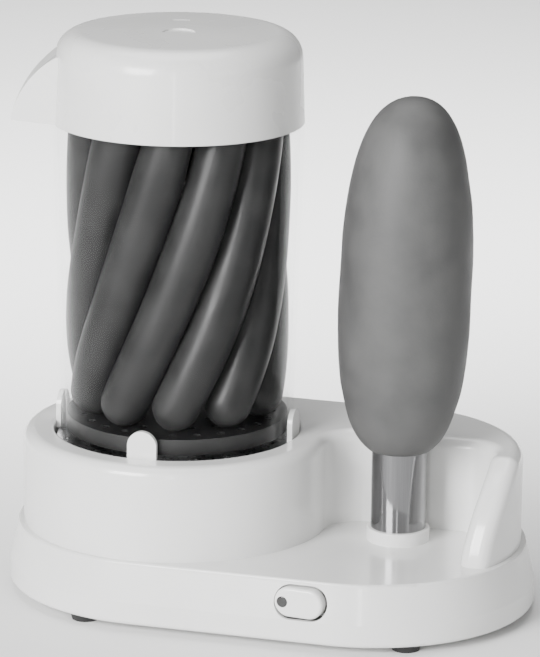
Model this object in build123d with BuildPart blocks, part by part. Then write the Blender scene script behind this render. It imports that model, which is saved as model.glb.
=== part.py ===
from build123d import *
from math import atan2, cos, floor, pi, radians, sin
import os

os.makedirs("parts", exist_ok=True)

# A counter-top hot dog maker. Millimetres, +Z up, front towards -Y, the drum at
# the -X end and the heated spike at the +X end. Floor at z = 0.

# ---- Plan of the base ----
drum_radius = 80.5          # upright wall of the round drum
bay_radius = 79.0           # upright wall round the spike end
centre_distance = 105.5     # drum axis to the centre of the spike end
rear_inset = 4.5            # the straight rear cuts this much off the smaller round end
rear_corner = 25.0          # rounding where the straight rear meets the round ends
ledge = 3.0                 # rim standing out all round the foot of the upper housing
flare = 4.5                 # further spread of the skirt below that rim

# ---- Heights above the floor ----
foot_height = 4.0           # rubber showing under the skirt
deck_z = 36.3               # flat deck in front of the rear wall
top_z = 86.1                # top of drum, rear wall and arm

# ---- Plastic mouldings ----
wall = 2.4                  # housing wall
floor_thickness = 2.2
edge_round = 6.0            # rounding of the drum rim and of the wall's top edges
fit_gap = 0.3               # between pieces that lift off one another
screw_gap = 0.05            # round a screw in its hole
hidden_gap = 0.5            # between fixed pieces inside

# ---- Raised rear wall and side arm ----
wall_face = 22.0            # inner face of the rear wall, behind the drum axis
cove_radius = 20.0          # hollow corner between drum and rear wall
bay_corner = 16.0           # hollow corner between rear wall and arm
arm_thickness = 15.5
arm_curve = 71.0            # radius of the arm's falling front edge, seen from the side
arm_axis_y = 34.6           # centre of that curve, behind the drum axis
arm_axis_drop = 61.4        # and below the top

# ---- Skirt ----
skirt_straight = 12.0       # upright lower part of the skirt
skirt_round = 2.5
lip_height = 1.8            # depth of the upper housing's rim
lip_round = 1.2             # rounding of the rim's top edge
locating_lip = 5.0          # tongue of the upper housing inside the skirt
vent_size = (34.0, 3.0)     # air slots in the floor
vent_pitch = 9.0
vent_count = 5

# ---- Well and heating dish ----
drum_rim = 16.0             # from the drum's wall to the side of the well
well_depth = 8.5
well_round = 2.0
seat_width = 10.0           # ledge at the foot of the well that carries the dish
seal_thickness = 1.5
seal_width = 6.0
dish_thickness = 1.8
dish_depth = 14.0
dish_rim_gap = 1.5          # dish rim to the side of the well
bowl_inset = 13.5           # side of the well to the wall of the bowl
bowl_round = 6.0
stud_radius = 2.5
heater_radius = 3.2         # tubular element under the dish
heater_inset = 13.0         # element's ring inside the wall of the bowl
heater_open = 36.0          # degrees left open between the element's ends
terminal_length = 9.0
bracket_width = 14.0
bracket_thickness = 1.5

# ---- Retaining tabs round the well ----
tab_width = 15.5
tab_height = 14.0
tab_thickness = 2.6
tab_root = 5.0              # depth of its root inside the well
tab_gap = 0.8               # to the container
tab_count = 4
tab_angle = -88.0

# ---- Container ----
container_gap = 4.1         # foot of the container to the side of the well
container_flare = 4.6       # widening from the foot to the lid
container_wall = 2.2
lid_line_z = 249.3          # where the lid's lower edge meets the container
neck_height = 9.0
neck_step = 3.0             # the neck is set in so that the lid sits flush
neck_slant = 2.2            # inner wall slants in over this height at the neck
plate_height = 13.5         # top of the steam plate above the container's foot
plate_drop = 7.0           # height of the steam plate's side wall
plate_thickness = 1.4
plate_gap = 0.6
ledge_width = 3.2           # ring inside the container that carries the plate
ledge_depth = 2.0
hole_radius = 2.0           # steam holes

# ---- Lid ----
lid_height = 47.2
lid_taper = 1.8
lid_round = 13.0
lid_dome = 1.2
lid_wall = 2.4
neck_gap = 0.5
lip_reach = 21.0            # pouring lip beyond the lid's side
lip_width = 36.0
lip_tip_width = 12.0
lip_rise = 35.0
lip_angle = 197.0           # direction in which the lip points
vent_slot = (10.0, 2.8)
vent_shift = 26.0           # steam slot behind the lid's centre
mark_radius = 8.6           # half the width of the half-round finger mark on the lid
mark_reach = 11.0           # its depth from front to back
mark_shift = 9.0            # its flat side in front of the lid's centre
mark_depth = 0.8

# ---- Spike ----
spike_offset = 15.5         # spike axis beyond the centre of the spike end
tube_radius = 14.3
tube_wall = 0.8
spike_height = 192.0        # tip above the deck
collar_thickness = 2.0
collar_height = 7.0
flange_width = 5.0
flange_thickness = 1.2
clamp_rim = 3.5             # plate outside its screw holes
clamp_thickness = 1.6
clamp_screws = 3
core_radius = 6.0           # ceramic heater core in the tube
core_length = 130.0
spacer_thickness = 3.0

# ---- Food ----
sausage_radius = 12.9
sausage_gap = 0.7
sausage_length = 166.0      # height of a sausage as it stands, ends included
sausage_turn = 60.0         # degrees each one leans round the container
sausage_lift = 1.0
roll_radius = 34.2
roll_length = 190.0
roll_gap = 0.6              # bread to tube
roll_drop = 5.8             # bottom of the roll below the top of the drum
crust = 26.0                # bread above the tip of the spike is at least this thick

# ---- Switch ----
switch_offset = 93.8        # from the drum axis
switch_z = 25.0
rocker_length = 26.0
rocker_height = 15.6
rocker_depth = 6.0
rocker_proud = 2.2
rocker_tilt = 5.0           # degrees either side of level
rocker_gap = 1.0
pivot_depth = 8.6           # pin behind the skirt's outer face
lug_size = (7.0, 8.0)       # rocker's lug round the pin
pin_radius = 1.0
pin_gap = 0.05
lamp_radius = 2.9
lamp_margin = 1.6           # lens to the end of the rocker
lamp_depth = 1.6
case_length = 30.0
case_height = 15.0
case_depth = 13.0
case_setback = 3.4          # room for the rocker between skirt and case
case_wall = 1.8
blade_size = (4.8, 8.0, 0.8)

# ---- Feet, screws, inlet, terminal block ----
foot_radius = 8.0
foot_margin = 11.0
front_foot_angles = (-109.0, -59.5)
screw_radius = 1.5
head_radius = 3.0
head_height = 2.0
screw_length = 18.0
post_radius = 4.4
boss_top = 12.0             # bosses on the floor, under the posts
inlet_bore = 3.4
inlet_radius = 4.8
inlet_flange = 5.9
inlet_length = 14.0
inlet_setback = 1.2         # flange clear of the skirt's inner face
inlet_offset = 42.0         # from the drum axis
block_size = (30.0, 16.0, 12.0)
wire_radius = 1.2

# ---- Derived places ----
spread = ledge + flare
rear_reach = min(drum_radius, bay_radius) - rear_inset
drum_x = (drum_radius - centre_distance - bay_radius) / 2
drum_y = (max(drum_radius, bay_radius) - rear_reach) / 2
bay_x = drum_x + centre_distance
spike_x = bay_x + spike_offset
reach = centre_distance + 2 * max(drum_radius, bay_radius)
rear_y = drum_y + rear_reach + spread
seam_z = deck_z - lip_height
floor_z = foot_height + floor_thickness
deck_under = deck_z - wall

well_radius = drum_radius - drum_rim
bowl_radius = well_radius - bowl_inset
seat_z = top_z - well_depth
seat_under = seat_z - wall
dish_rim_z = seat_z + seal_thickness + dish_thickness
bowl_floor_z = dish_rim_z - dish_depth
bowl_under = bowl_floor_z - dish_thickness
heater_ring = bowl_radius - heater_inset
bracket_z = bowl_under - 2 * heater_radius - hidden_gap
bracket_reach = well_radius - seat_width / 2

container_z = dish_rim_z + fit_gap
container_foot_radius = well_radius - container_gap
container_top_radius = container_foot_radius + container_flare
container_slope = container_flare / (lid_line_z - container_z)
neck_radius = container_top_radius - neck_step
neck_z = lid_line_z + neck_height
plate_z = container_z + plate_height
lid_z = lid_line_z + fit_gap
lid_top_z = lid_z + lid_height
arm_axis_z = top_z - arm_axis_drop
lid_shoulder_radius = container_top_radius - lid_taper

tube_foot_z = deck_under - flange_thickness
spike_top_z = deck_z + spike_height
collar_radius = tube_radius + collar_thickness
flange_radius = tube_radius + flange_width
clamp_hole_ring = flange_radius + screw_radius + 1.9
clamp_radius = clamp_hole_ring + clamp_rim
roll_z = top_z - roll_drop
roll_waist_z = roll_z + 0.45 * roll_length

switch_x = drum_x + switch_offset
switch_skirt = spread - flare * max(0, switch_z - foot_height - skirt_straight) / (
    seam_z - foot_height - skirt_straight
)
switch_y = drum_y - bay_radius - switch_skirt
pivot_y = switch_y + pivot_depth
inlet_x = drum_x + inlet_offset
inlet_z = floor_z + inlet_flange + fit_gap
case_y = switch_y + wall + case_setback


def container_radius(z):
    """Outside radius of the container at a height."""
    return container_foot_radius + container_slope * (z - container_z)


def around(centre_x, centre_y, radius, angle):
    """A point at an angle round an upright axis."""
    return (centre_x + radius * cos(radians(angle)), centre_y + radius * sin(radians(angle)))


def outline(grow):
    """Plan of the base: two round ends, a straight front and a straight rear."""
    with BuildSketch() as plan:
        with Locations((drum_x, drum_y)):
            Circle(drum_radius + grow)
        with Locations((bay_x, drum_y)):
            Circle(bay_radius + grow)
        make_hull()
        with Locations((0, drum_y + rear_reach + grow)):
            Rectangle(2 * reach, 2 * reach, align=(Align.CENTER, Align.MAX), mode=Mode.INTERSECT)
        fillet(plan.vertices().group_by(Axis.Y)[-1], rear_corner + grow)
    return plan.sketch


def raised_form(inset):
    """Drum, rear wall and side arm above the deck, drawn in by inset on every side."""
    with BuildPart() as form:
        with BuildSketch(Plane.XY.offset(deck_z - inset)):
            add(outline(-inset))
        extrude(amount=top_z - deck_z)
        # the open bay round the spike
        with BuildSketch(Plane.XY.offset(deck_z - inset)) as bay:
            with Locations((bay_x, drum_y)):
                Circle(bay_radius - arm_thickness + inset)
                Rectangle(centre_distance, 2 * reach, align=(Align.MAX, Align.CENTER))
            with Locations((bay_x, drum_y + wall_face + inset)):
                Rectangle(2 * reach, 2 * reach, align=(Align.CENTER, Align.MAX), mode=Mode.INTERSECT)
            with Locations((drum_x, drum_y)):
                Circle(drum_radius - inset, mode=Mode.SUBTRACT)
            fillet(bay.vertices().group_by(Axis.Y)[-1].sort_by(Axis.X)[0], cove_radius + inset)
            fillet(bay.vertices().group_by(Axis.Y)[-1].sort_by(Axis.X)[-1], bay_corner + inset)
        extrude(amount=top_z, mode=Mode.SUBTRACT)
        # the arm's falling front edge
        with BuildSketch(Plane.YZ.offset(bay_x)):
            with Locations((drum_y + arm_axis_y, deck_z - inset)):
                Rectangle(2 * reach, top_z, align=(Align.MAX, Align.MIN))
            with Locations((drum_y + arm_axis_y, arm_axis_z)):
                Circle(arm_curve - inset, mode=Mode.SUBTRACT)
        extrude(amount=reach, mode=Mode.SUBTRACT)
        rims = form.faces().filter_by(Axis.Z).sort_by(Axis.Z)[-1].edges()
        arm_edges = form.edges().filter_by(GeomType.BSPLINE).filter_by_position(
            Axis.Z, deck_z - inset, top_z - inset, inclusive=(True, True)
        )
        fillet(rims + arm_edges, edge_round - inset)
    return form.part


def skirt_form(inset, bottom):
    """The skirt's solid outer shape, drawn in by inset, from a bottom height to the seam."""
    with BuildPart() as form:
        with BuildSketch(Plane.XY.offset(bottom)):
            add(outline(spread - inset))
        extrude(amount=foot_height + skirt_straight - bottom)
        with BuildSketch(Plane.XY.offset(foot_height + skirt_straight)):
            add(outline(spread - inset))
        with BuildSketch(Plane.XY.offset(seam_z)):
            add(outline(ledge - inset))
        loft(ruled=True)
    return form.part


# Places of the screw posts: two under the well's seat, three under the deck and the rear wall
post_places = [
    (*around(drum_x, drum_y, bracket_reach, 150), seat_under),
    (*around(drum_x, drum_y, bracket_reach, 210), seat_under),
    (*around(bay_x, drum_y, bay_radius - 16, -38), deck_under),
    (*around(bay_x, drum_y, bay_radius - 16, 52), top_z - wall),
    (drum_x + centre_distance / 2, drum_y - drum_radius + 12, deck_under),
]
bracket_places = [(drum_x - bracket_reach, drum_y), (drum_x + bracket_reach, drum_y)]
clamp_places = [around(spike_x, drum_y, clamp_hole_ring, 30 + 120 * i) for i in range(clamp_screws)]
foot_places = [
    around(drum_x, drum_y, drum_radius + spread - foot_margin, front_foot_angles[0]),
    around(bay_x, drum_y, bay_radius + spread - foot_margin, front_foot_angles[1]),
]
foot_places += [(x, rear_y - foot_margin - 4) for x, y in foot_places]

# Rim all round the foot of the upper housing, its top edge rounded
with BuildPart() as ledge_rim:
    with BuildSketch(Plane.XY.offset(seam_z)):
        add(outline(ledge))
    extrude(amount=lip_height)
    fillet(ledge_rim.faces().sort_by(Axis.Z)[-1].edges(), lip_round)

# Upper housing: one moulding with drum, deck, rear wall, side arm and the well for the dish
with BuildPart() as upper_housing:
    add(raised_form(0))
    add(ledge_rim.part)
    # tongue that drops inside the skirt, left out at the switch
    with BuildSketch(Plane.XY.offset(deck_under - locating_lip)):
        add(outline(ledge - wall - fit_gap))
    extrude(amount=locating_lip + seam_z - deck_under)
    with BuildSketch(Plane.XY.offset(deck_under - locating_lip)):
        add(outline(ledge - 2 * wall - fit_gap))
        with Locations((switch_x, switch_y)):
            Rectangle(case_length + 4, 8 * wall)
    extrude(amount=locating_lip, mode=Mode.SUBTRACT)
    add(raised_form(wall), mode=Mode.SUBTRACT)
    # the well and the seat at its foot
    with BuildSketch(Plane.XY.offset(seat_under)):
        with Locations((drum_x, drum_y)):
            Circle(well_radius + wall)
    extrude(amount=well_depth)
    with BuildSketch(Plane.XY.offset(seat_z)):
        with Locations((drum_x, drum_y)):
            Circle(well_radius)
    extrude(amount=2 * well_depth, mode=Mode.SUBTRACT)
    with BuildSketch(Plane.XY.offset(seat_z)):
        with Locations((drum_x, drum_y)):
            Circle(well_radius - seat_width)
    extrude(amount=-2 * wall, mode=Mode.SUBTRACT)
    well_edge = upper_housing.edges().filter_by(GeomType.CIRCLE).filter_by(
        lambda edge: abs(edge.radius - well_radius) < 0.01 and edge.center().Z > top_z - 0.1
    )
    fillet(well_edge, well_round)
    # posts for the housing screws, bosses for the dish bracket and the spike clamp
    for x, y, post_top in post_places:
        with BuildSketch(Plane.XY.offset(boss_top)):
            with Locations((x, y)):
                Circle(post_radius)
        extrude(amount=post_top - boss_top + wall / 2)
    with BuildSketch(Plane.XY.offset(bracket_z)):
        with Locations(bracket_places):
            Circle(post_radius)
    extrude(amount=seat_under - bracket_z + wall / 2)
    with BuildSketch(Plane.XY.offset(tube_foot_z)):
        with Locations(clamp_places):
            Circle(post_radius - 1.4)
    extrude(amount=flange_thickness + wall / 2)
    for places, start, depth in (
        ([(x, y) for x, y, post_top in post_places], boss_top, screw_length),
        (bracket_places, bracket_z, 8.0),
        (clamp_places, tube_foot_z, flange_thickness + wall / 2),
    ):
        with BuildSketch(Plane.XY.offset(start)):
            with Locations(places):
                Circle(screw_radius + screw_gap)
        extrude(amount=depth, mode=Mode.SUBTRACT)
    # hole for the spike and its collar
    with BuildSketch(Plane.XY.offset(deck_under - 1)):
        with Locations((spike_x, drum_y)):
            Circle(tube_radius + collar_thickness / 2 + screw_gap)
    extrude(amount=wall + 2, mode=Mode.SUBTRACT)
    # retaining tabs standing in the well, close round the container
    tab_inner = container_radius(top_z + tab_height) + tab_gap
    for i in range(tab_count):
        angle = tab_angle + i * 360 / tab_count
        x, y = around(drum_x, drum_y, tab_inner, angle)
        upright = Plane(
            origin=(x, y, top_z - tab_root),
            x_dir=(-sin(radians(angle)), cos(radians(angle)), 0),
            z_dir=(cos(radians(angle)), sin(radians(angle)), 0),
        )
        with BuildSketch(upright):
            with Locations((0, 0)):
                Rectangle(tab_width, tab_root + tab_height - tab_width / 2, align=(Align.CENTER, Align.MIN))
            with Locations((0, tab_root + tab_height - tab_width / 2)):
                Circle(tab_width / 2)
        extrude(amount=tab_thickness)
        with BuildSketch(upright):
            Rectangle(tab_width, tab_root - well_round, align=(Align.CENTER, Align.MIN))
        extrude(amount=well_radius + wall / 2 - tab_inner)
upper_housing.part.label = "upper_housing"
export_step(upper_housing.part, "parts/upper_housing.step")

# Lower housing: skirt and floor in one tray, with bosses, air slots and two openings
with BuildPart() as lower_housing:
    add(skirt_form(0, foot_height))
    fillet(lower_housing.faces().sort_by(Axis.Z)[0].edges(), skirt_round)
    add(skirt_form(wall, floor_z), mode=Mode.SUBTRACT)
    with BuildSketch(Plane.XY.offset(floor_z)):
        with Locations([(x, y) for x, y, post_top in post_places]):
            Circle(post_radius)
    extrude(amount=boss_top - floor_z)
    with BuildSketch(Plane.XY.offset(floor_z)):
        with Locations(foot_places):
            Circle(post_radius)
    extrude(amount=floor_thickness)
    # screw holes: a deep recess from below in each boss, a pilot hole over each foot
    with BuildSketch(Plane.XY.offset(foot_height)):
        with Locations([(x, y) for x, y, post_top in post_places]):
            Circle(head_radius + fit_gap)
    extrude(amount=boss_top - foot_height - wall, mode=Mode.SUBTRACT)
    with BuildSketch(Plane.XY.offset(foot_height)):
        with Locations([(x, y) for x, y, post_top in post_places] + foot_places):
            Circle(screw_radius + screw_gap)
    extrude(amount=boss_top - foot_height, mode=Mode.SUBTRACT)
    # air slots under the drum
    with BuildSketch(Plane.XY.offset(foot_height)):
        with Locations((drum_x, drum_y)):
            with GridLocations(0, vent_pitch, 1, vent_count):
                SlotOverall(*vent_size)
    extrude(amount=floor_thickness, mode=Mode.SUBTRACT)
    # oval opening for the rocker
    with BuildSketch(Plane.XZ.offset(-pivot_y)):
        with Locations((switch_x, switch_z)):
            SlotOverall(rocker_length + 2 * rocker_gap, rocker_height + 2 * rocker_gap)
    extrude(amount=4 * pivot_depth, mode=Mode.SUBTRACT)
    # round opening for the cord inlet
    with BuildSketch(Plane.XZ.offset(-rear_y)):
        with Locations((inlet_x, inlet_z)):
            Circle(inlet_radius + screw_gap)
    extrude(amount=2 * wall, both=True, mode=Mode.SUBTRACT)
lower_housing.part.label = "lower_housing"
export_step(lower_housing.part, "parts/lower_housing.step")


def tube_sketch(x, y, outer, inner):
    """A ring about an upright axis."""
    with BuildSketch() as ring:
        with Locations((x, y)):
            Circle(outer)
            Circle(inner, mode=Mode.SUBTRACT)
    return ring.sketch


def pan_screws(places, seat, length, label):
    """Identical screws driven upwards, heads below seat height."""
    with BuildPart() as screws:
        for x, y in places:
            with BuildSketch(Plane.XY.offset(seat)):
                with Locations((x, y)):
                    Circle(screw_radius)
            extrude(amount=length)
            with BuildSketch(Plane.XY.offset(seat)):
                with Locations((x, y)):
                    Circle(head_radius)
            extrude(amount=-head_height)
            with BuildSketch(Plane.XY.offset(seat - head_height)):
                with Locations((x, y)):
                    Rectangle(2.6, 0.7)
                    Rectangle(0.7, 2.6)
            extrude(amount=head_height / 2, mode=Mode.SUBTRACT)
    screws.part.label = label
    export_step(screws.part, f"parts/{label}.step")


pan_screws(
    [(x, y) for x, y, post_top in post_places], boss_top - wall, screw_length, "housing_screws"
)
pan_screws(bracket_places, bracket_z - bracket_thickness, 8.0, "bracket_screws")
pan_screws(clamp_places, tube_foot_z - clamp_thickness, clamp_thickness + 2.0, "clamp_screws")
pan_screws(foot_places, foot_height - 1.2, 5.0, "foot_screws")

# Rubber feet: four stepped discs, each hollowed for its screw
with BuildPart() as rubber_feet:
    for x, y in foot_places:
        with BuildSketch():
            with Locations((x, y)):
                Circle(foot_radius - 1)
        with BuildSketch(Plane.XY.offset(foot_height)):
            with Locations((x, y)):
                Circle(foot_radius)
        loft()
        with BuildSketch():
            with Locations((x, y)):
                Circle(head_radius + fit_gap)
        extrude(amount=foot_height - 1.2, mode=Mode.SUBTRACT)
        with BuildSketch():
            with Locations((x, y)):
                Circle(screw_radius + screw_gap)
        extrude(amount=foot_height, mode=Mode.SUBTRACT)
rubber_feet.part.label = "rubber_feet"
export_step(rubber_feet.part, "parts/rubber_feet.step")

# Silicone seal between the seat and the dish
with BuildPart() as dish_seal:
    with BuildSketch(Plane.XY.offset(seat_z)):
        add(tube_sketch(drum_x, drum_y, well_radius - dish_rim_gap, well_radius - dish_rim_gap - seal_width))
    extrude(amount=seal_thickness)
dish_seal.part.label = "dish_seal"
export_step(dish_seal.part, "parts/dish_seal.step")

# Heating dish: spun aluminium bowl with a flat rim and a stud below
with BuildPart() as heating_dish:
    with BuildSketch(Plane.XZ.offset(-drum_y)):
        with Locations((drum_x, dish_rim_z)):
            Rectangle(well_radius - dish_rim_gap, dish_thickness, align=(Align.MIN, Align.MAX))
            Rectangle(bowl_radius + dish_thickness, dish_depth + dish_thickness, align=(Align.MIN, Align.MAX))
            Rectangle(bowl_radius, dish_depth, align=(Align.MIN, Align.MAX), mode=Mode.SUBTRACT)
    revolve(axis=Axis((drum_x, drum_y, 0), (0, 0, 1)))
    bowl_corner = heating_dish.edges().filter_by(GeomType.CIRCLE).filter_by(
        lambda edge: abs(edge.center().Z - bowl_floor_z) < 0.01
    )
    fillet(bowl_corner, bowl_round)
    outer_corner = heating_dish.edges().filter_by(GeomType.CIRCLE).filter_by(
        lambda edge: abs(edge.center().Z - bowl_under) < 0.01
    )
    fillet(outer_corner, bowl_round + dish_thickness)
    with BuildSketch(Plane.XY.offset(bowl_under)):
        with Locations((drum_x, drum_y)):
            Circle(stud_radius)
    extrude(amount=-(bowl_under - bracket_z + 8))
heating_dish.part.label = "heating_dish"
export_step(heating_dish.part, "parts/heating_dish.step")

# Tubular element: an open ring pressed against the dish, its two ends turned down
element_z = bowl_under - heater_radius
element_start = 90 + heater_open / 2
element_ends = [
    around(drum_x, drum_y, heater_ring, angle) for angle in (element_start, element_start - heater_open)
]
element_plane = Plane(
    origin=(drum_x, drum_y, element_z),
    x_dir=(cos(radians(element_start)), sin(radians(element_start)), 0),
    z_dir=(sin(radians(element_start)), -cos(radians(element_start)), 0),
)
with BuildPart() as dish_element:
    with BuildSketch(element_plane):
        with Locations((heater_ring, 0)):
            Circle(heater_radius)
    revolve(axis=Axis((drum_x, drum_y, 0), (0, 0, 1)), revolution_arc=360 - heater_open)
    for x, y in element_ends:
        with Locations((x, y, element_z)):
            Sphere(heater_radius)
        with BuildSketch(Plane.XY.offset(element_z)):
            with Locations((x, y)):
                Circle(heater_radius * 0.6)
        extrude(amount=-terminal_length)
dish_element.part.label = "dish_element"
export_step(dish_element.part, "parts/dish_element.step")

# Steel strap that pulls the dish down on its seal, and its nut
with BuildPart() as dish_bracket:
    with BuildSketch(Plane.XY.offset(bracket_z)):
        with Locations((drum_x, drum_y)):
            SlotCenterToCenter(2 * bracket_reach, bracket_width)
            Circle(stud_radius + fit_gap, mode=Mode.SUBTRACT)
        with Locations(bracket_places):
            Circle(screw_radius + screw_gap, mode=Mode.SUBTRACT)
    extrude(amount=-bracket_thickness)
dish_bracket.part.label = "dish_bracket"
export_step(dish_bracket.part, "parts/dish_bracket.step")

with BuildPart() as dish_nut:
    with BuildSketch(Plane.XY.offset(bracket_z - bracket_thickness)):
        with Locations((drum_x, drum_y)):
            RegularPolygon(4.6, 6)
            Circle(stud_radius, mode=Mode.SUBTRACT)
    extrude(amount=-4)
dish_nut.part.label = "dish_nut"
export_step(dish_nut.part, "parts/dish_nut.step")

# Thermostat and thermal fuse against the underside of the dish
with BuildPart() as thermostat:
    with BuildSketch(Plane.XY.offset(bowl_under)):
        with Locations((drum_x, drum_y + 0.45 * bowl_radius)):
            Circle(7.5)
    extrude(amount=-6)
    with BuildSketch(Plane.XY.offset(bowl_under - 6)):
        with Locations((drum_x, drum_y + 0.45 * bowl_radius)):
            with GridLocations(7, 0, 2, 1):
                Rectangle(0.8, 5)
    extrude(amount=-7)
thermostat.part.label = "thermostat"
export_step(thermostat.part, "parts/thermostat.step")

with BuildPart() as thermal_fuse:
    with BuildSketch(Plane.YZ.offset(drum_x)):
        with Locations((drum_y - 0.4 * bowl_radius, bowl_under - 2.2)):
            Circle(2.2)
    extrude(amount=6, both=True)
    with BuildSketch(Plane.YZ.offset(drum_x)):
        with Locations((drum_y - 0.4 * bowl_radius, bowl_under - 2.2)):
            Circle(0.6)
    extrude(amount=11, both=True)
thermal_fuse.part.label = "thermal_fuse"
export_step(thermal_fuse.part, "parts/thermal_fuse.step")

# Spike: a bright steel tube closed by a round tip, with a flange under the deck
with BuildPart() as spike_tube:
    with BuildSketch(Plane.XY.offset(tube_foot_z)):
        with Locations((spike_x, drum_y)):
            Circle(tube_radius)
    extrude(amount=spike_top_z - tube_foot_z)
    with BuildSketch(Plane.XY.offset(tube_foot_z)):
        with Locations((spike_x, drum_y)):
            Circle(flange_radius)
    extrude(amount=flange_thickness)
    fillet(spike_tube.faces().sort_by(Axis.Z)[-1].edges(), tube_radius - 2)
    with BuildSketch(Plane.XY.offset(tube_foot_z)):
        with Locations((spike_x, drum_y)):
            Circle(tube_radius - tube_wall)
    extrude(amount=spike_top_z - tube_foot_z - tube_radius, mode=Mode.SUBTRACT)
spike_tube.part.label = "spike_tube"
export_step(spike_tube.part, "parts/spike_tube.step")

# Collar: heat-proof ring between the tube and the deck
with BuildPart() as spike_collar:
    with BuildSketch(Plane.XY.offset(deck_z)):
        add(tube_sketch(spike_x, drum_y, collar_radius, tube_radius))
    extrude(amount=collar_height)
    fillet(spike_collar.edges().sort_by(Axis.Z)[-2:].sort_by(SortBy.RADIUS)[-1], 0.8)
    with BuildSketch(Plane.XY.offset(deck_z)):
        add(tube_sketch(spike_x, drum_y, tube_radius + collar_thickness / 2, tube_radius))
    extrude(amount=-wall)
spike_collar.part.label = "spike_collar"
export_step(spike_collar.part, "parts/spike_collar.step")

# Clamp plate that holds the tube's flange against the deck
with BuildPart() as spike_clamp:
    with BuildSketch(Plane.XY.offset(tube_foot_z)):
        add(tube_sketch(spike_x, drum_y, clamp_radius, tube_radius - tube_wall - 1))
        with Locations(clamp_places):
            Circle(screw_radius + screw_gap, mode=Mode.SUBTRACT)
    extrude(amount=-clamp_thickness)
spike_clamp.part.label = "spike_clamp"
export_step(spike_clamp.part, "parts/spike_clamp.step")

# Ceramic heater core, centred in the tube by two mica discs
core_z = deck_z + 12
with BuildPart() as spike_heater:
    with BuildSketch(Plane.XY.offset(core_z)):
        with Locations((spike_x, drum_y)):
            Circle(core_radius)
    extrude(amount=core_length)
    with BuildSketch(Plane.XY.offset(core_z)):
        with Locations((spike_x, drum_y)):
            with GridLocations(6, 0, 2, 1):
                Circle(0.8)
    extrude(amount=-(core_z - tube_foot_z + 6))
spike_heater.part.label = "spike_heater"
export_step(spike_heater.part, "parts/spike_heater.step")

with BuildPart() as heater_spacers:
    for z in (core_z + 10, core_z + core_length - 10):
        with BuildSketch(Plane.XY.offset(z)):
            add(tube_sketch(spike_x, drum_y, tube_radius - tube_wall - screw_gap, core_radius))
        extrude(amount=spacer_thickness)
heater_spacers.part.label = "heater_spacers"
export_step(heater_spacers.part, "parts/heater_spacers.step")

# Container: clear tapered vessel, open at the foot, with a ring inside for the steam plate
with BuildPart() as container:
    shoulder_radius = container_radius(lid_line_z)
    foot_inner = container_foot_radius - container_wall
    inner_at_shoulder = shoulder_radius - container_wall
    with BuildSketch(Plane.XZ.offset(-drum_y)):
        with Locations((drum_x, 0)):
            with BuildLine():
                Polyline(
                    (drum_x + foot_inner, container_z),
                    (drum_x + container_foot_radius, container_z),
                    (drum_x + shoulder_radius, lid_line_z),
                    (drum_x + neck_radius, lid_line_z),
                    (drum_x + neck_radius, neck_z),
                    (drum_x + neck_radius - container_wall, neck_z),
                    (drum_x + neck_radius - container_wall, lid_line_z + neck_slant / 2),
                    (drum_x + inner_at_shoulder, lid_line_z - neck_slant),
                    close=True,
                )
            make_face()
    revolve(axis=Axis((drum_x, drum_y, 0), (0, 0, 1)))
    ledge_top = container_z + plate_height - plate_drop - plate_thickness - fit_gap / 3
    with BuildSketch(Plane.XY.offset(ledge_top)):
        ledge_outer = container_radius(ledge_top) - container_wall / 2
        add(tube_sketch(drum_x, drum_y, ledge_outer, ledge_outer - ledge_width - container_wall / 2))
    extrude(amount=-ledge_depth)
container.part.label = "container"
export_step(container.part, "parts/container.step")

# Steam plate: dark perforated tray that stands on the container's ring
plate_radius = container_radius(ledge_top) - container_wall - plate_gap
with BuildPart() as steam_plate:
    with BuildSketch(Plane.XY.offset(plate_z)):
        with Locations((drum_x, drum_y)):
            Circle(plate_radius)
    extrude(amount=-(plate_z - ledge_top - fit_gap / 3))
    with BuildSketch(Plane.XY.offset(plate_z - plate_thickness)):
        with Locations((drum_x, drum_y)):
            Circle(plate_radius - plate_thickness)
    extrude(amount=-plate_height, mode=Mode.SUBTRACT)
    with BuildSketch(Plane.XY.offset(plate_z)):
        for ring, holes in ((0.2, 6), (0.42, 12), (0.64, 18), (0.86, 24)):
            with Locations((drum_x, drum_y)):
                with PolarLocations(plate_radius * ring, holes):
                    Circle(hole_radius)
    extrude(amount=-2 * plate_thickness, mode=Mode.SUBTRACT)
steam_plate.part.label = "steam_plate"
export_step(steam_plate.part, "parts/steam_plate.step")

# Sausages: a ring of them standing on the plate, all leaning the same way
sausage_ring = container_foot_radius - container_wall - sausage_radius - sausage_gap / 2
lean = atan2(2 * sausage_ring * sin(radians(sausage_turn / 2)), sausage_length - 2 * sausage_radius)
sausage_count = floor(2 * pi * sausage_ring * cos(lean) / (2 * sausage_radius + sausage_gap))
sausage_foot_z = plate_z + sausage_lift + sausage_radius
with BuildPart() as sausages:
    for i in range(sausage_count):
        start = i * 360 / sausage_count
        knots = [
            (
                *around(drum_x, drum_y, sausage_ring, start + share * sausage_turn),
                sausage_foot_z + share * (sausage_length - 2 * sausage_radius),
            )
            for share in (0, 0.5, 1)
        ]
        with BuildLine() as spine:
            ThreePointArc(*knots)
        with BuildSketch(Plane(origin=spine.line @ 0, z_dir=spine.line % 0)):
            Circle(sausage_radius)
        sweep(path=spine.line)
        with Locations(knots[0], knots[2]):
            Sphere(sausage_radius)
sausages.part.label = "sausages"
export_step(sausages.part, "parts/sausages.step")

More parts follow.
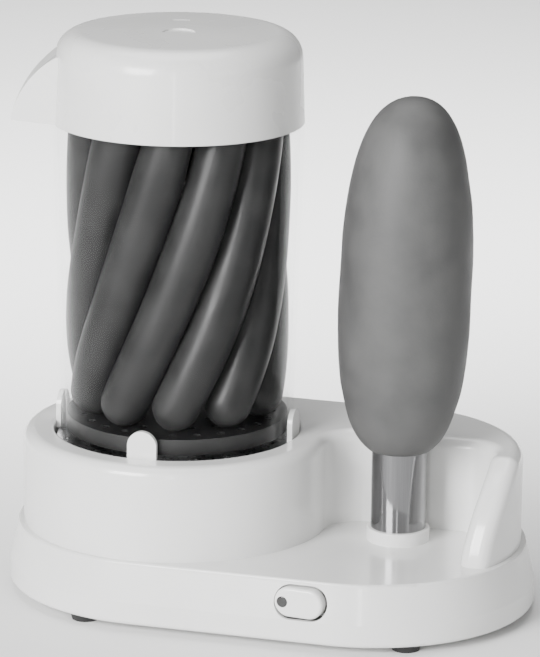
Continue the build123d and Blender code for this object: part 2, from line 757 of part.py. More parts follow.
# Lid: deep white cap with a rounded shoulder, a pouring lip at one side and a steam slot
with BuildPart() as lid:
    with BuildSketch(Plane.XZ.offset(-drum_y)):
        with BuildLine():
            Polyline(
                (drum_x, lid_z),
                (drum_x + container_top_radius, lid_z),
                (drum_x + lid_shoulder_radius, lid_top_z - lid_dome),
            )
            ThreePointArc(
                (drum_x + lid_shoulder_radius, lid_top_z - lid_dome),
                (drum_x + lid_shoulder_radius / 2, lid_top_z - lid_dome / 4),
                (drum_x, lid_top_z),
            )
            Line((drum_x, lid_top_z), (drum_x, lid_z))
        make_face()
    revolve(axis=Axis((drum_x, drum_y, 0), (0, 0, 1)))
    shoulder = lid.edges().filter_by(GeomType.CIRCLE).filter_by(
        lambda edge: abs(edge.center().Z - lid_top_z + lid_dome) < 0.01
    )
    fillet(shoulder, lid_round)
    # the lip: a hood that narrows to its tip
    lip_out = (cos(radians(lip_angle)), sin(radians(lip_angle)), 0)
    lip_side = (-lip_out[1], lip_out[0], 0)
    tip_distance = container_top_radius + lip_reach
    with BuildSketch(Plane(origin=(drum_x, drum_y, lid_z), x_dir=lip_out, z_dir=(0, 0, 1))):
        with BuildLine():
            Polyline(
                (lid_shoulder_radius - 8, -lip_width / 2 - 3),
                (tip_distance, -lip_tip_width / 2),
                (tip_distance, lip_tip_width / 2),
                (lid_shoulder_radius - 8, lip_width / 2 + 3),
                close=True,
            )
        make_face()
    extrude(amount=lip_rise)
    # its top falls in a hollow curve from the lid's shoulder to the tip
    lip_upright = Plane(
        origin=(drum_x, drum_y, lid_z), x_dir=lip_out, z_dir=(-lip_side[0], -lip_side[1], 0)
    )
    with BuildSketch(lip_upright):
        with BuildLine():
            lip_line = Spline(
                (lid_shoulder_radius - 1, lip_rise),
                (container_top_radius + 0.5 * lip_reach, 0.66 * lip_rise),
                (tip_distance, 0.06 * lip_rise),
            )
            Polyline(
                lip_line @ 1,
                (tip_distance + lip_reach, 0.06 * lip_rise),
                (tip_distance + lip_reach, 2 * lip_rise),
                (lid_shoulder_radius - 1, 2 * lip_rise),
                lip_line @ 0,
            )
        make_face()
    extrude(amount=lip_width, both=True, mode=Mode.SUBTRACT)
    # hollow inside
    with BuildSketch(Plane.XZ.offset(-drum_y)):
        with BuildLine():
            Polyline(
                (drum_x, lid_z),
                (drum_x + neck_radius + neck_gap, lid_z),
                (drum_x + neck_radius + neck_gap, neck_z + fit_gap),
                (drum_x + lid_shoulder_radius - lid_wall, neck_z + fit_gap + 2),
                (drum_x + lid_shoulder_radius - lid_wall, lid_top_z - lid_dome - lid_round),
            )
            RadiusArc(
                (drum_x + lid_shoulder_radius - lid_wall, lid_top_z - lid_dome - lid_round),
                (drum_x + lid_shoulder_radius - lid_round, lid_top_z - lid_dome - lid_wall),
                -(lid_round - lid_wall),
            )
            Polyline(
                (drum_x + lid_shoulder_radius - lid_round, lid_top_z - lid_dome - lid_wall),
                (drum_x, lid_top_z - lid_dome - lid_wall),
                (drum_x, lid_z),
            )
        make_face()
    revolve(axis=Axis((drum_x, drum_y, 0), (0, 0, 1)), mode=Mode.SUBTRACT)
    # steam slot right through, and a shallow half-round finger mark in front of it
    crown_plane = Plane(
        origin=(drum_x, drum_y, lid_top_z), x_dir=(-lip_out[0], -lip_out[1], 0), z_dir=(0, 0, 1)
    )
    with BuildSketch(crown_plane.offset(-lid_dome - 2 * lid_wall)):
        with Locations((0, vent_shift)):
            SlotOverall(*vent_slot)
    extrude(amount=4 * lid_wall, mode=Mode.SUBTRACT)
    with BuildSketch(crown_plane.offset(-mark_depth)):
        with Locations((0, -mark_shift)):
            Ellipse(mark_radius, mark_reach)
            Rectangle(2 * mark_radius, mark_reach, align=(Align.CENTER, Align.MAX), mode=Mode.SUBTRACT)
    extrude(amount=lid_wall, mode=Mode.SUBTRACT)
lid.part.label = "lid"
export_step(lid.part, "parts/lid.step")

# Bread roll: long bun, bored from below to sit on the spike
with BuildPart() as bread_roll:
    with BuildSketch(Plane.XZ.offset(-drum_y)):
        with BuildLine():
            crown = Bezier(
                (spike_x, roll_z + roll_length),
                (spike_x + 0.7 * roll_radius, roll_z + roll_length),
                (spike_x + roll_radius, roll_waist_z + 0.7 * (roll_z + roll_length - roll_waist_z)),
                (spike_x + roll_radius, roll_waist_z),
            )
            heel = Bezier(
                crown @ 1,
                (spike_x + roll_radius, roll_waist_z - 0.7 * (roll_waist_z - roll_z)),
                (spike_x + 0.76 * roll_radius, roll_z),
                (spike_x, roll_z),
            )
            Line(heel @ 1, crown @ 0)
        make_face()
    revolve(axis=Axis((spike_x, drum_y, 0), (0, 0, 1)))
    bore_radius = tube_radius + roll_gap
    bore_top = min(spike_top_z + roll_gap, roll_z + roll_length - crust)
    with BuildSketch(Plane.XY.offset(roll_z)):
        with Locations((spike_x, drum_y)):
            Circle(bore_radius)
    extrude(amount=bore_top - roll_z, mode=Mode.SUBTRACT)
bread_roll.part.label = "bread_roll"
export_step(bread_roll.part, "parts/bread_roll.step")

# Switch: case behind the skirt, pin, rocker with its lamp lens, and blades at the back
tilt = radians(-rocker_tilt)
rocker_plane = Plane(
    origin=(switch_x, pivot_y, switch_z),
    x_dir=(cos(tilt), sin(tilt), 0),
    z_dir=(sin(tilt), -cos(tilt), 0),
)
with BuildPart() as switch_rocker:
    with BuildSketch(rocker_plane.offset(pivot_depth + rocker_proud - rocker_depth)):
        SlotOverall(rocker_length, rocker_height)
    extrude(amount=rocker_depth)
    fillet(switch_rocker.faces().sort_by(Axis.Y)[0].edges(), 1.6)
    # lug that carries the pin
    with BuildSketch(rocker_plane.offset(-lug_size[0] / 2)):
        Rectangle(*lug_size)
    extrude(amount=lug_size[0] / 2 + pivot_depth + rocker_proud - rocker_depth + wall / 2)
    with BuildSketch(Plane.XY.offset(switch_z - rocker_height)):
        with Locations((switch_x, pivot_y)):
            Circle(pin_radius + pin_gap)
    extrude(amount=2 * rocker_height, mode=Mode.SUBTRACT)
    # seat of the lamp lens at the left end
    with BuildSketch(rocker_plane.offset(pivot_depth + rocker_proud - lamp_depth)):
        with Locations((-rocker_length / 2 + lamp_radius + lamp_margin, 0)):
            Circle(lamp_radius)
    extrude(amount=2 * lamp_depth, mode=Mode.SUBTRACT)
switch_rocker.part.label = "switch_rocker"
export_step(switch_rocker.part, "parts/switch_rocker.step")

with BuildPart() as lamp_lens:
    with BuildSketch(rocker_plane.offset(pivot_depth + rocker_proud - lamp_depth)):
        with Locations((-rocker_length / 2 + lamp_radius + lamp_margin, 0)):
            Circle(lamp_radius)
    extrude(amount=lamp_depth + 0.2)
    fillet(lamp_lens.faces().sort_by(Axis.Y)[0].edges(), 0.6)
lamp_lens.part.label = "lamp_lens"
export_step(lamp_lens.part, "parts/lamp_lens.step")

blade_width, blade_length, blade_thickness = blade_size
with BuildSketch() as blades:
    with Locations((switch_x, switch_z)):
        with GridLocations(case_length / 3.4, 0, 3, 1):
            Rectangle(blade_thickness, blade_width)
blade_sections = blades.sketch

with BuildPart() as switch_case:
    with BuildSketch(Plane.XZ.offset(-case_y)):
        with Locations((switch_x, switch_z)):
            Rectangle(case_length, case_height)
    extrude(amount=-case_depth)
    with BuildSketch(Plane.XZ.offset(-case_y)):
        with Locations((switch_x, switch_z)):
            Rectangle(case_length - 2 * case_wall, case_height - 2 * case_wall)
    extrude(amount=-(case_depth - case_wall), mode=Mode.SUBTRACT)
    with BuildSketch(Plane.XY.offset(switch_z - case_height)):
        with Locations((switch_x, pivot_y)):
            Circle(pin_radius)
    extrude(amount=2 * case_height, mode=Mode.SUBTRACT)
    with BuildSketch(Plane.XZ.offset(-case_y)):
        add(blade_sections)
    extrude(amount=-2 * case_depth, mode=Mode.SUBTRACT)
switch_case.part.label = "switch_case"
export_step(switch_case.part, "parts/switch_case.step")

with BuildPart() as switch_pin:
    with BuildSketch(Plane.XY.offset(switch_z - case_height / 2)):
        with Locations((switch_x, pivot_y)):
            Circle(pin_radius)
    extrude(amount=case_height)
switch_pin.part.label = "switch_pin"
export_step(switch_pin.part, "parts/switch_pin.step")

with BuildPart() as switch_blades:
    with BuildSketch(Plane.XZ.offset(-(case_y + case_depth - case_wall))):
        add(blade_sections)
    extrude(amount=-(blade_length + case_wall))
switch_blades.part.label = "switch_blades"
export_step(switch_blades.part, "parts/switch_blades.step")

# Cord inlet: plain bush in the rear of the skirt, flanged on the inside
with BuildPart() as cord_inlet:
    with BuildSketch(Plane.XZ.offset(-rear_y)):
        with Locations((inlet_x, inlet_z)):
            Circle(inlet_radius)
    extrude(amount=inlet_length)
    with BuildSketch(Plane.XZ.offset(-(rear_y - wall - inlet_setback))):
        with Locations((inlet_x, inlet_z)):
            Circle(inlet_flange)
    extrude(amount=wall)
    with BuildSketch(Plane.XZ.offset(-rear_y)):
        with Locations((inlet_x, inlet_z)):
            Circle(inlet_bore)
    extrude(amount=inlet_length, mode=Mode.SUBTRACT)
    fillet(cord_inlet.edges().group_by(Axis.Y)[-1].sort_by(SortBy.RADIUS)[0], 0.8)
cord_inlet.part.label = "cord_inlet"
export_step(cord_inlet.part, "parts/cord_inlet.step")

# Terminal block on the floor, with three clamp screws
block_length, block_width, block_height = block_size
block_x = drum_x + 0.72 * centre_distance
block_y = drum_y + 0.5 * rear_reach
with BuildPart() as terminal_block:
    with BuildSketch(Plane.XY.offset(floor_z)):
        with Locations((block_x, block_y)):
            Rectangle(block_length, block_width)
    extrude(amount=block_height)
    chamfer(terminal_block.faces().sort_by(Axis.Z)[-1].edges().filter_by(Axis.X), 2)
    with BuildSketch(Plane.XY.offset(floor_z + block_height)):
        with Locations((block_x, block_y)):
            with GridLocations(block_length / 3, 0, 3, 1):
                Circle(2.4)
    extrude(amount=-block_height / 2, mode=Mode.SUBTRACT)
    with BuildSketch(Plane.XZ.offset(-block_y)):
        with Locations((block_x, floor_z + 0.4 * block_height)):
            with GridLocations(block_length / 3, 0, 3, 1):
                Circle(wire_radius + fit_gap)
    extrude(amount=block_width, both=True, mode=Mode.SUBTRACT)
terminal_block.part.label = "terminal_block"
export_step(terminal_block.part, "parts/terminal_block.step")

with BuildPart() as terminal_screws:
    with BuildSketch(Plane.XY.offset(floor_z + block_height / 2 + 0.2)):
        with Locations((block_x, block_y)):
            with GridLocations(block_length / 3, 0, 3, 1):
                Circle(2.2)
    extrude(amount=block_height / 4)
    with BuildSketch(Plane.XY.offset(floor_z + 0.75 * block_height + 0.2)):
        with Locations((block_x, block_y)):
            with GridLocations(block_length / 3, 0, 3, 1):
                Rectangle(4.4, 0.6)
    extrude(amount=-0.8, mode=Mode.SUBTRACT)
terminal_screws.part.label = "terminal_screws"
export_step(terminal_screws.part, "parts/terminal_screws.step")


def lead(label, routes):
    """Insulated leads: straight runs joined by tangent arcs."""
    with BuildPart() as leads:
        for route in routes:
            with BuildLine() as path:
                FilletPolyline(*route, radius=4 * wire_radius)
            with BuildSketch(Plane(origin=path.line @ 0, z_dir=path.line % 0)):
                Circle(wire_radius)
            sweep(path=path.line)
    leads.part.label = label
    export_step(leads.part, f"parts/{label}.step")


# Leads inside the base: block to switch, block to dish element, block to spike heater
block_pitch = block_length / 3
lead_z = floor_z + 0.4 * block_height
block_front = block_y - block_width / 2 + 1
block_rear = block_y + block_width / 2 - 1
blade_end = case_y + case_depth + blade_length
element_end_z = element_z - terminal_length
lead(
    "switch_lead",
    [
        [
            (block_x - block_pitch, block_front, lead_z),
            (block_x - block_pitch, block_front - 16, lead_z),
            (switch_x - case_length / 3.4, blade_end + 14, switch_z),
            (switch_x - case_length / 3.4, blade_end, switch_z),
        ]
    ],
)
lead(
    "dish_lead",
    [
        [
            (block_x - block_pitch, block_rear, lead_z),
            (block_x - block_pitch, block_rear + 8, lead_z),
            (element_ends[0][0], block_rear + 8, lead_z + 10),
            (element_ends[0][0], element_ends[0][1], lead_z + 18),
            (element_ends[0][0], element_ends[0][1], element_end_z),
        ]
    ],
)
lead(
    "spike_lead",
    [
        [
            (block_x + block_pitch, block_front, lead_z),
            (block_x + block_pitch, block_front - 10, lead_z),
            (spike_x + 3, drum_y, lead_z),
            (spike_x + 3, drum_y, tube_foot_z - 6),
        ]
    ],
)
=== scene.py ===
import math

import bmesh
import bpy
from mathutils import Matrix, Vector, noise


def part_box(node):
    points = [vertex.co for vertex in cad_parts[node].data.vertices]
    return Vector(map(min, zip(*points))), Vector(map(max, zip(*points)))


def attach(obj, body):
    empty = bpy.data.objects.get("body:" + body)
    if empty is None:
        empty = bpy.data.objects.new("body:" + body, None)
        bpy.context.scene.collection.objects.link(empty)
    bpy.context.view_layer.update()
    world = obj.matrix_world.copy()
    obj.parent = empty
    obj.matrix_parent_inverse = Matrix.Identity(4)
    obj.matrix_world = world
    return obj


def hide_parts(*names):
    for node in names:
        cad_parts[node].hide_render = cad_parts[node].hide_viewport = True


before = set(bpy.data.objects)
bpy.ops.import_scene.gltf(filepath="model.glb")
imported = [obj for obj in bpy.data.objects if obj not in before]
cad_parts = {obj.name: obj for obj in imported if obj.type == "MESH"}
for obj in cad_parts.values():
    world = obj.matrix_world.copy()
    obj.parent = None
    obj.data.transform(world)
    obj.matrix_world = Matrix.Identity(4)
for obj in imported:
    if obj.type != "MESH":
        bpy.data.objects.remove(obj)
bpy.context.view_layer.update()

# ---- Camera ----
# Stands well back, a little to the left of the front and slightly above the object, with a
# long lens and a trace of roll.
camera_distance = 2.07122
camera_azimuth = math.radians(17.0562)
camera_elevation = math.radians(15.0255)
camera_roll = math.radians(0.6359)
camera_target = Vector((-0.0017, 0.0030, 0.1427))
camera_lens = 219.2
camera_sensor = 36
camera_sight = 50
camera_back = Vector((
    math.sin(camera_azimuth) * math.cos(camera_elevation),
    -math.cos(camera_azimuth) * math.cos(camera_elevation),
    math.sin(camera_elevation),
))
camera_right = Vector((math.cos(camera_azimuth), math.sin(camera_azimuth), 0))
camera_up = camera_back.cross(camera_right)
camera_axes = Matrix((camera_right, camera_up, camera_back)).transposed()
camera_data = bpy.data.cameras.new("camera")
camera_data.lens = camera_lens
camera_data.sensor_width = camera_sensor
camera_data.clip_end = camera_sight
camera = bpy.data.objects.new("camera", camera_data)
camera.matrix_world = (
    Matrix.Translation(camera_target + camera_back * camera_distance)
    @ camera_axes.to_4x4()
    @ Matrix.Rotation(camera_roll, 4, "Z")
)
bpy.context.collection.objects.link(camera)
bpy.context.scene.camera = camera

# ---- Studio ----
# A plain pale floor under soft light: a broad lamp in front and to the left, one above, a
# weak one at the right, a narrow strip for gloss, and one that only brightens the floor
# behind. The surround is even and dim.
floor_half_width = 6.0
floor_colour = (0.88, 0.88, 0.875, 1)
floor_roughness = 0.7
surround_strength = 0.27
lamps = (
    # name, place, aim, width and height, power
    ("key_lamp", (-0.75, -2.0, 0.95), (0, 0, 0.12), (1.0, 1.0), 105),
    ("top_lamp", (-0.2, 0.3, 2.2), (0, 0, 0), (1.6, 1.6), 36),
    ("fill_lamp", (1.7, -0.9, 0.7), (0, 0, 0.12), (0.7, 0.7), 3),
    ("strip_lamp", (0.35, -1.6, 0.45), (0.06, 0, 0.12), (0.08, 1.1), 5),
    ("floor_lamp", (-0.1, 0.5, 1.0), (-0.6, 2.1, 0.2), (1.4, 0.8), 60),
)
for lamp_name, lamp_place, lamp_aim, lamp_size, lamp_power in lamps:
    lamp_data = bpy.data.lights.new(lamp_name, "AREA")
    lamp_data.shape = "RECTANGLE"
    lamp_data.size = lamp_size[0]
    lamp_data.size_y = lamp_size[1]
    lamp_data.energy = lamp_power
    lamp = bpy.data.objects.new(lamp_name, lamp_data)
    lamp.visible_camera = False
    lamp_turn = (Vector(lamp_aim) - Vector(lamp_place)).to_track_quat("-Z", "Y").to_matrix()
    lamp.matrix_world = Matrix.Translation(lamp_place) @ lamp_turn.to_4x4()
    bpy.context.collection.objects.link(lamp)
world = bpy.data.worlds.new("surround")
world.use_nodes = True
surround = world.node_tree.nodes["Background"]
surround.inputs["Color"].default_value = (1, 1, 1, 1)
surround.inputs["Strength"].default_value = surround_strength
bpy.context.scene.world = world

floor_material = bpy.data.materials.new("floor_paper")
floor_material.use_nodes = True
floor_shader = floor_material.node_tree.nodes["Principled BSDF"]
floor_shader.inputs["Base Color"].default_value = floor_colour
floor_shader.inputs["Roughness"].default_value = floor_roughness
floor_mesh = bpy.data.meshes.new("floor")
form = bmesh.new()
bmesh.ops.create_grid(form, x_segments=1, y_segments=1, size=floor_half_width)
form.to_mesh(floor_mesh)
form.free()
floor_mesh.materials.append(floor_material)
floor = bpy.data.objects.new("floor", floor_mesh)
bpy.context.collection.objects.link(floor)

# ---- Lower housing ----
# The flared skirt with its floor, one injection moulding in glossy white plastic. Screws
# from below hold it to the upper housing.
white_colour = (0.80, 0.80, 0.79)
usual_noise = (0.3, 0.7)     # between these, noise varies; it seldom goes beyond
flow_scale = 26
flow_shade = 0.965           # darkest flow cloud against the full colour
gloss_spread = 0.12
ripple_scale = 420
ripple_strength = 0.35
coat_roughness = 0.06
plastic_ior = 1.5


def new_material(name):
    """A material with its Principled shader, its nodes and links, ready for textures."""
    material = bpy.data.materials.new(name)
    material.use_nodes = True
    nodes = material.node_tree.nodes
    return material, nodes, material.node_tree.links, nodes["Principled BSDF"]


def object_noise(nodes, links, scale, detail=2.0, stretch=(1, 1, 1)):
    """Noise fixed to the piece, in features per metre, stretched along chosen axes."""
    place = nodes.new("ShaderNodeTexCoord")
    turn = nodes.new("ShaderNodeMapping")
    turn.inputs["Scale"].default_value = stretch
    cloud = nodes.new("ShaderNodeTexNoise")
    cloud.inputs["Scale"].default_value = scale
    cloud.inputs["Detail"].default_value = detail
    links.new(place.outputs["Object"], turn.inputs["Vector"])
    links.new(turn.outputs["Vector"], cloud.inputs["Vector"])
    return cloud.outputs["Fac"]


def ramp(nodes, links, factor, low, high, start=0.35, end=0.65):
    """Colour that runs from low to high as the factor rises from start to end."""
    blend = nodes.new("ShaderNodeValToRGB")
    blend.color_ramp.elements[0].position = start
    blend.color_ramp.elements[0].color = (*low, 1)
    blend.color_ramp.elements[1].position = end
    blend.color_ramp.elements[1].color = (*high, 1)
    links.new(factor, blend.inputs["Fac"])
    return blend.outputs["Color"]


def value_range(nodes, links, factor, low, high):
    """A number that follows a noise between two limits."""
    mapped = nodes.new("ShaderNodeMapRange")
    mapped.inputs["From Min"].default_value = usual_noise[0]
    mapped.inputs["From Max"].default_value = usual_noise[1]
    mapped.inputs["To Min"].default_value = low
    mapped.inputs["To Max"].default_value = high
    links.new(factor, mapped.inputs["Value"])
    return mapped.outputs["Result"]


def bumps(nodes, links, height, depth, strength, shader):
    """Relief of a given depth in metres on the shader's normal."""
    relief = nodes.new("ShaderNodeBump")
    relief.inputs["Strength"].default_value = strength
    relief.inputs["Distance"].default_value = depth
    links.new(height, relief.inputs["Height"])
    links.new(relief.outputs["Normal"], shader.inputs["Normal"])


def scaled(colour, factor):
    """A colour made lighter or darker."""
    return tuple(channel * factor for channel in colour)


def moulded_plastic(name, colour, roughness, coat=0.0, grain=0.00002):
    """Moulded plastic: faint flow clouds in colour and gloss, and a trace of surface ripple."""
    material, nodes, links, shader = new_material(name)
    clouds = object_noise(nodes, links, flow_scale, 3)
    shade = ramp(nodes, links, clouds, scaled(colour, flow_shade), colour)
    gloss = value_range(
        nodes, links, clouds, roughness * (1 - gloss_spread), roughness * (1 + gloss_spread)
    )
    links.new(shade, shader.inputs["Base Color"])
    links.new(gloss, shader.inputs["Roughness"])
    bumps(nodes, links, object_noise(nodes, links, ripple_scale, 1), grain, ripple_strength, shader)
    shader.inputs["Coat Weight"].default_value = coat
    shader.inputs["Coat Roughness"].default_value = coat_roughness
    shader.inputs["IOR"].default_value = plastic_ior
    return material


def finish_node(node, material):
    """Gives a carried-over part its finish."""
    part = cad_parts[node]
    if not part.material_slots:
        part.data.materials.append(material)
    for place in part.material_slots:
        place.material = material


housing_plastic = moulded_plastic("housing_plastic", white_colour, 0.22, 0.35)
finish_node("lower_housing", housing_plastic)

# ---- Upper housing ----
# Drum, deck, rear guard wall and side arm in one moulding of the same glossy plastic.
finish_node("upper_housing", housing_plastic)

# ---- Feet ----
# Four stepped rubber feet, each held by a screw.
foot_rubber = moulded_plastic("foot_rubber", (0.018, 0.018, 0.018), 0.75, 0.0, 0.00008)
finish_node("rubber_feet", foot_rubber)

# ---- Screws and other small metal ----
# Zinc plated steel: fine brushed grain, a little clouded.
grain_shade = 0.88
grain_spread = 0.25
grain_depth = 0.00001
grain_strength = 0.3


def plated_metal(name, colour, roughness, grain_scale=900, stretch=(1, 1, 1)):
    """Bare or plated metal with fine grain in its gloss."""
    material, nodes, links, shader = new_material(name)
    grain = object_noise(nodes, links, grain_scale, 2, stretch)
    shade = ramp(nodes, links, grain, scaled(colour, grain_shade), colour)
    gloss = value_range(
        nodes, links, grain, roughness * (1 - grain_spread), roughness * (1 + grain_spread)
    )
    links.new(shade, shader.inputs["Base Color"])
    links.new(gloss, shader.inputs["Roughness"])
    bumps(nodes, links, grain, grain_depth, grain_strength, shader)
    shader.inputs["Metallic"].default_value = 1.0
    return material


zinc_steel = plated_metal("zinc_steel", (0.62, 0.62, 0.64), 0.35)
zinc_nodes = ("housing_screws", "bracket_screws", "clamp_screws", "foot_screws", "dish_bracket")
zinc_nodes += ("dish_nut", "spike_clamp", "thermal_fuse", "switch_pin")
for zinc_node in zinc_nodes:
    finish_node(zinc_node, zinc_steel)

# ---- Heating dish ----
# Spun aluminium bowl with a bright rim, its seal, and the element under it.
dish_metal = plated_metal("dish_metal", (0.72, 0.72, 0.73), 0.32, 500)
finish_node("heating_dish", dish_metal)
finish_node("dish_seal", moulded_plastic("seal_silicone", (0.45, 0.45, 0.44), 0.55, 0.0, 0.00005))
finish_node("dish_element", plated_metal("element_steel", (0.22, 0.22, 0.23), 0.5, 700))
finish_node("thermostat", moulded_plastic("thermostat_phenolic", (0.03, 0.03, 0.03), 0.5))

# ---- Spike ----
# Polished steel tube with fine lengthwise drawing lines, standing in a white heat-proof
# collar; the ceramic core and its mica discs are inside.
spike_steel = plated_metal("spike_steel", (0.22, 0.22, 0.225), 0.08, 1400, (1, 1, 0.02))
finish_node("spike_tube", spike_steel)
finish_node("spike_collar", moulded_plastic("collar_plastic", white_colour, 0.3, 0.2))
finish_node("spike_heater", moulded_plastic("heater_ceramic", (0.80, 0.77, 0.70), 0.8, 0.0, 0.00006))
finish_node("heater_spacers", moulded_plastic("spacer_mica", (0.50, 0.46, 0.38), 0.4))

# ---- Wiring ----
# Terminal block, insulated leads and the bush for the cord, all inside or at the rear.
finish_node("terminal_block", moulded_plastic("block_polyamide", (0.74, 0.74, 0.70), 0.45))
finish_node("cord_inlet", moulded_plastic("inlet_rubber", (0.03, 0.03, 0.03), 0.6, 0.0, 0.00006))
lead_silicone = moulded_plastic("lead_silicone", (0.62, 0.62, 0.60), 0.55, 0.0, 0.00006)
for lead_node in ("switch_lead", "dish_lead", "spike_lead"):
    finish_node(lead_node, lead_silicone)
brass = plated_metal("brass", (0.70, 0.53, 0.25), 0.3)
for brass_node in ("terminal_screws", "switch_blades"):
    finish_node(brass_node, brass)

# ---- Switch ----
# Oval rocker in the skirt with a small dark lens at its left end. Its white case is behind
# it and shows only through the narrow gap round the rocker.
finish_node("switch_rocker", moulded_plastic("rocker_plastic", (0.84, 0.84, 0.83), 0.18, 0.4))
finish_node("switch_case", moulded_plastic("case_plastic", (0.80, 0.80, 0.78), 0.45))
finish_node("lamp_lens", moulded_plastic("lens_plastic", (0.02, 0.02, 0.02), 0.12, 0.6))

# ---- Container ----
# Clear moulded vessel that widens a little towards its lid, standing on the dish. The wall
# is thin and flawless, so it shows only as faint haze and as gloss that grows at its edges.
clear_haze = (0.0, 0.003)
clear_edge = 0.65
clear_falloff = 5.0
clear_roughness = 0.03
clear_material, clear_nodes, clear_links, clear_shader = new_material("clear_plastic")
clear_facing = clear_nodes.new("ShaderNodeLayerWeight")
clear_facing.inputs["Blend"].default_value = 0.5
clear_power = clear_nodes.new("ShaderNodeMath")
clear_power.operation = "POWER"
clear_power.inputs[1].default_value = clear_falloff
clear_links.new(clear_facing.outputs["Facing"], clear_power.inputs[0])
clear_cover = clear_nodes.new("ShaderNodeMapRange")
clear_cover.inputs["To Max"].default_value = clear_edge
clear_links.new(clear_power.outputs["Value"], clear_cover.inputs["Value"])
clear_clouds = object_noise(clear_nodes, clear_links, 18, 2)
clear_veil = value_range(clear_nodes, clear_links, clear_clouds, *clear_haze)
clear_links.new(clear_veil, clear_cover.inputs["To Min"])
clear_links.new(clear_cover.outputs["Result"], clear_shader.inputs["Alpha"])
clear_tint = ramp(clear_nodes, clear_links, clear_clouds, (0.90, 0.91, 0.91), (0.96, 0.97, 0.97))
clear_links.new(clear_tint, clear_shader.inputs["Base Color"])
clear_shader.inputs["Metallic"].default_value = 1.0
clear_shader.inputs["Roughness"].default_value = clear_roughness
finish_node("container", clear_material)

# ---- Steam plate ----
# Dark coated tray with rings of steam holes, standing on a ring in the container's foot.
finish_node("steam_plate", moulded_plastic("plate_coating", (0.012, 0.012, 0.012), 0.4, 0.1, 0.00005))

# ---- Sausages ----
# Scalded sausages stand on the plate in a ring, all leaning the same way round the wall:
# moist skin drawn tight over a soft filling, puckered at the ends where it was twisted.
sausage_count = 10
sausage_radius = 0.0135
sausage_ring = 0.04495
sausage_turn = math.radians(66)
sausage_bend = 0.08          # how far the lower half runs ahead in its turn
pucker_start = 0.55          # share of the rounded end where the puckering begins
pucker_depth = 0.07
pucker_folds = 9
lump_depth = 0.035
lump_turns = 9
end_taper = 0.05
lump_shift = 1.7             # makes each sausage's lumps differ from its neighbour's
round_steps = 32
end_steps = 22
length_cuts = 18
sausages_low, sausages_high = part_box("sausages")
container_low, container_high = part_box("container")
drum_axis = (container_low + container_high) / 2
sausage_foot = sausages_low.z + sausage_radius
sausage_rise = sausages_high.z - sausages_low.z - 2 * sausage_radius


def new_piece(name, form, body, material, replaced=()):
    """Makes a smooth-shaded piece of a finished bmesh and hangs it on its body."""
    mesh = bpy.data.meshes.new(name)
    form.to_mesh(mesh)
    form.free()
    mesh.shade_smooth()
    mesh.materials.append(material)
    piece = bpy.data.objects.new(name, mesh)
    bpy.context.collection.objects.link(piece)
    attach(piece, body)
    if replaced:
        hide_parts(*replaced)
    return piece


def sausage_spine(share, start):
    """Place and direction on a sausage's centre line, from its foot at 0 to its top at 1."""
    ahead = 4 * sausage_bend
    angle = start + sausage_turn * (share + ahead * share * (1 - share))
    quickness = sausage_turn * (1 + ahead * (1 - 2 * share))
    outward = Vector((math.cos(angle), math.sin(angle), 0))
    sideways = Vector((-math.sin(angle), math.cos(angle), 0))
    place = Vector((drum_axis.x, drum_axis.y, sausage_foot + share * sausage_rise))
    place += outward * sausage_ring
    run = (sideways * sausage_ring * quickness + Vector((0, 0, sausage_rise))).normalized()
    return place, run, outward


def add_sausage(form, start, lumps):
    """One sausage: a stretched ball bent round the container's axis."""
    single = bmesh.new()
    bmesh.ops.create_uvsphere(
        single, u_segments=round_steps, v_segments=end_steps, radius=sausage_radius
    )
    for vert in single.verts:
        if abs(vert.co.z) > 1e-6:
            vert.co.z += math.copysign(sausage_rise / 2, vert.co.z)
    long_edges = [edge for edge in single.edges if edge.calc_length() > sausage_rise / 3]
    bmesh.ops.subdivide_edges(single, edges=long_edges, cuts=length_cuts, use_grid_fill=True)
    for vert in single.verts:
        height = vert.co.z
        along = max(-sausage_rise / 2, min(sausage_rise / 2, height))
        share = along / sausage_rise + 0.5
        beyond = height - along
        turn = math.atan2(vert.co.y, vert.co.x)
        swell = 1 - lump_depth * (0.5 + 0.5 * math.sin(lumps + lump_turns * share))
        swell -= end_taper * abs(2 * share - 1) ** 6
        pucker = max(0, abs(beyond) / sausage_radius - pucker_start)
        swell *= 1 - pucker_depth * pucker * (1 + math.cos(pucker_folds * turn + lumps))
        place, run, outward = sausage_spine(share, start)
        across = run.cross(outward).normalized()
        outward = across.cross(run)
        vert.co = place + (outward * vert.co.x + across * vert.co.y) * swell + run * beyond
    shape = bpy.data.meshes.new("single_sausage")
    single.to_mesh(shape)
    single.free()
    form.from_mesh(shape)
    bpy.data.meshes.remove(shape)


skin_dark = (0.017, 0.017, 0.017)
skin_light = (0.026, 0.026, 0.026)
skin_ripple = 0.00006
sausage_skin, skin_nodes, skin_links, skin_shader = new_material("sausage_skin")
skin_clouds = object_noise(skin_nodes, skin_links, 60, 1)
skin_shade = ramp(skin_nodes, skin_links, skin_clouds, skin_dark, skin_light)
skin_links.new(skin_shade, skin_shader.inputs["Base Color"])
skin_gloss = value_range(skin_nodes, skin_links, skin_clouds, 0.36, 0.50)
skin_links.new(skin_gloss, skin_shader.inputs["Roughness"])
skin_waves = object_noise(skin_nodes, skin_links, 90, 0)
bumps(skin_nodes, skin_links, skin_waves, skin_ripple, 0.3, skin_shader)
skin_shader.inputs["Coat Weight"].default_value = 0.05
skin_shader.inputs["Specular IOR Level"].default_value = 0.22
skin_shader.inputs["Coat Roughness"].default_value = 0.2
sausage_form = bmesh.new()
for number in range(sausage_count):
    add_sausage(sausage_form, 2 * math.pi * number / sausage_count, lump_shift * number)
bmesh.ops.recalc_face_normals(sausage_form, faces=sausage_form.faces)
new_piece("sausage_ring", sausage_form, "container", sausage_skin, ("sausages",))

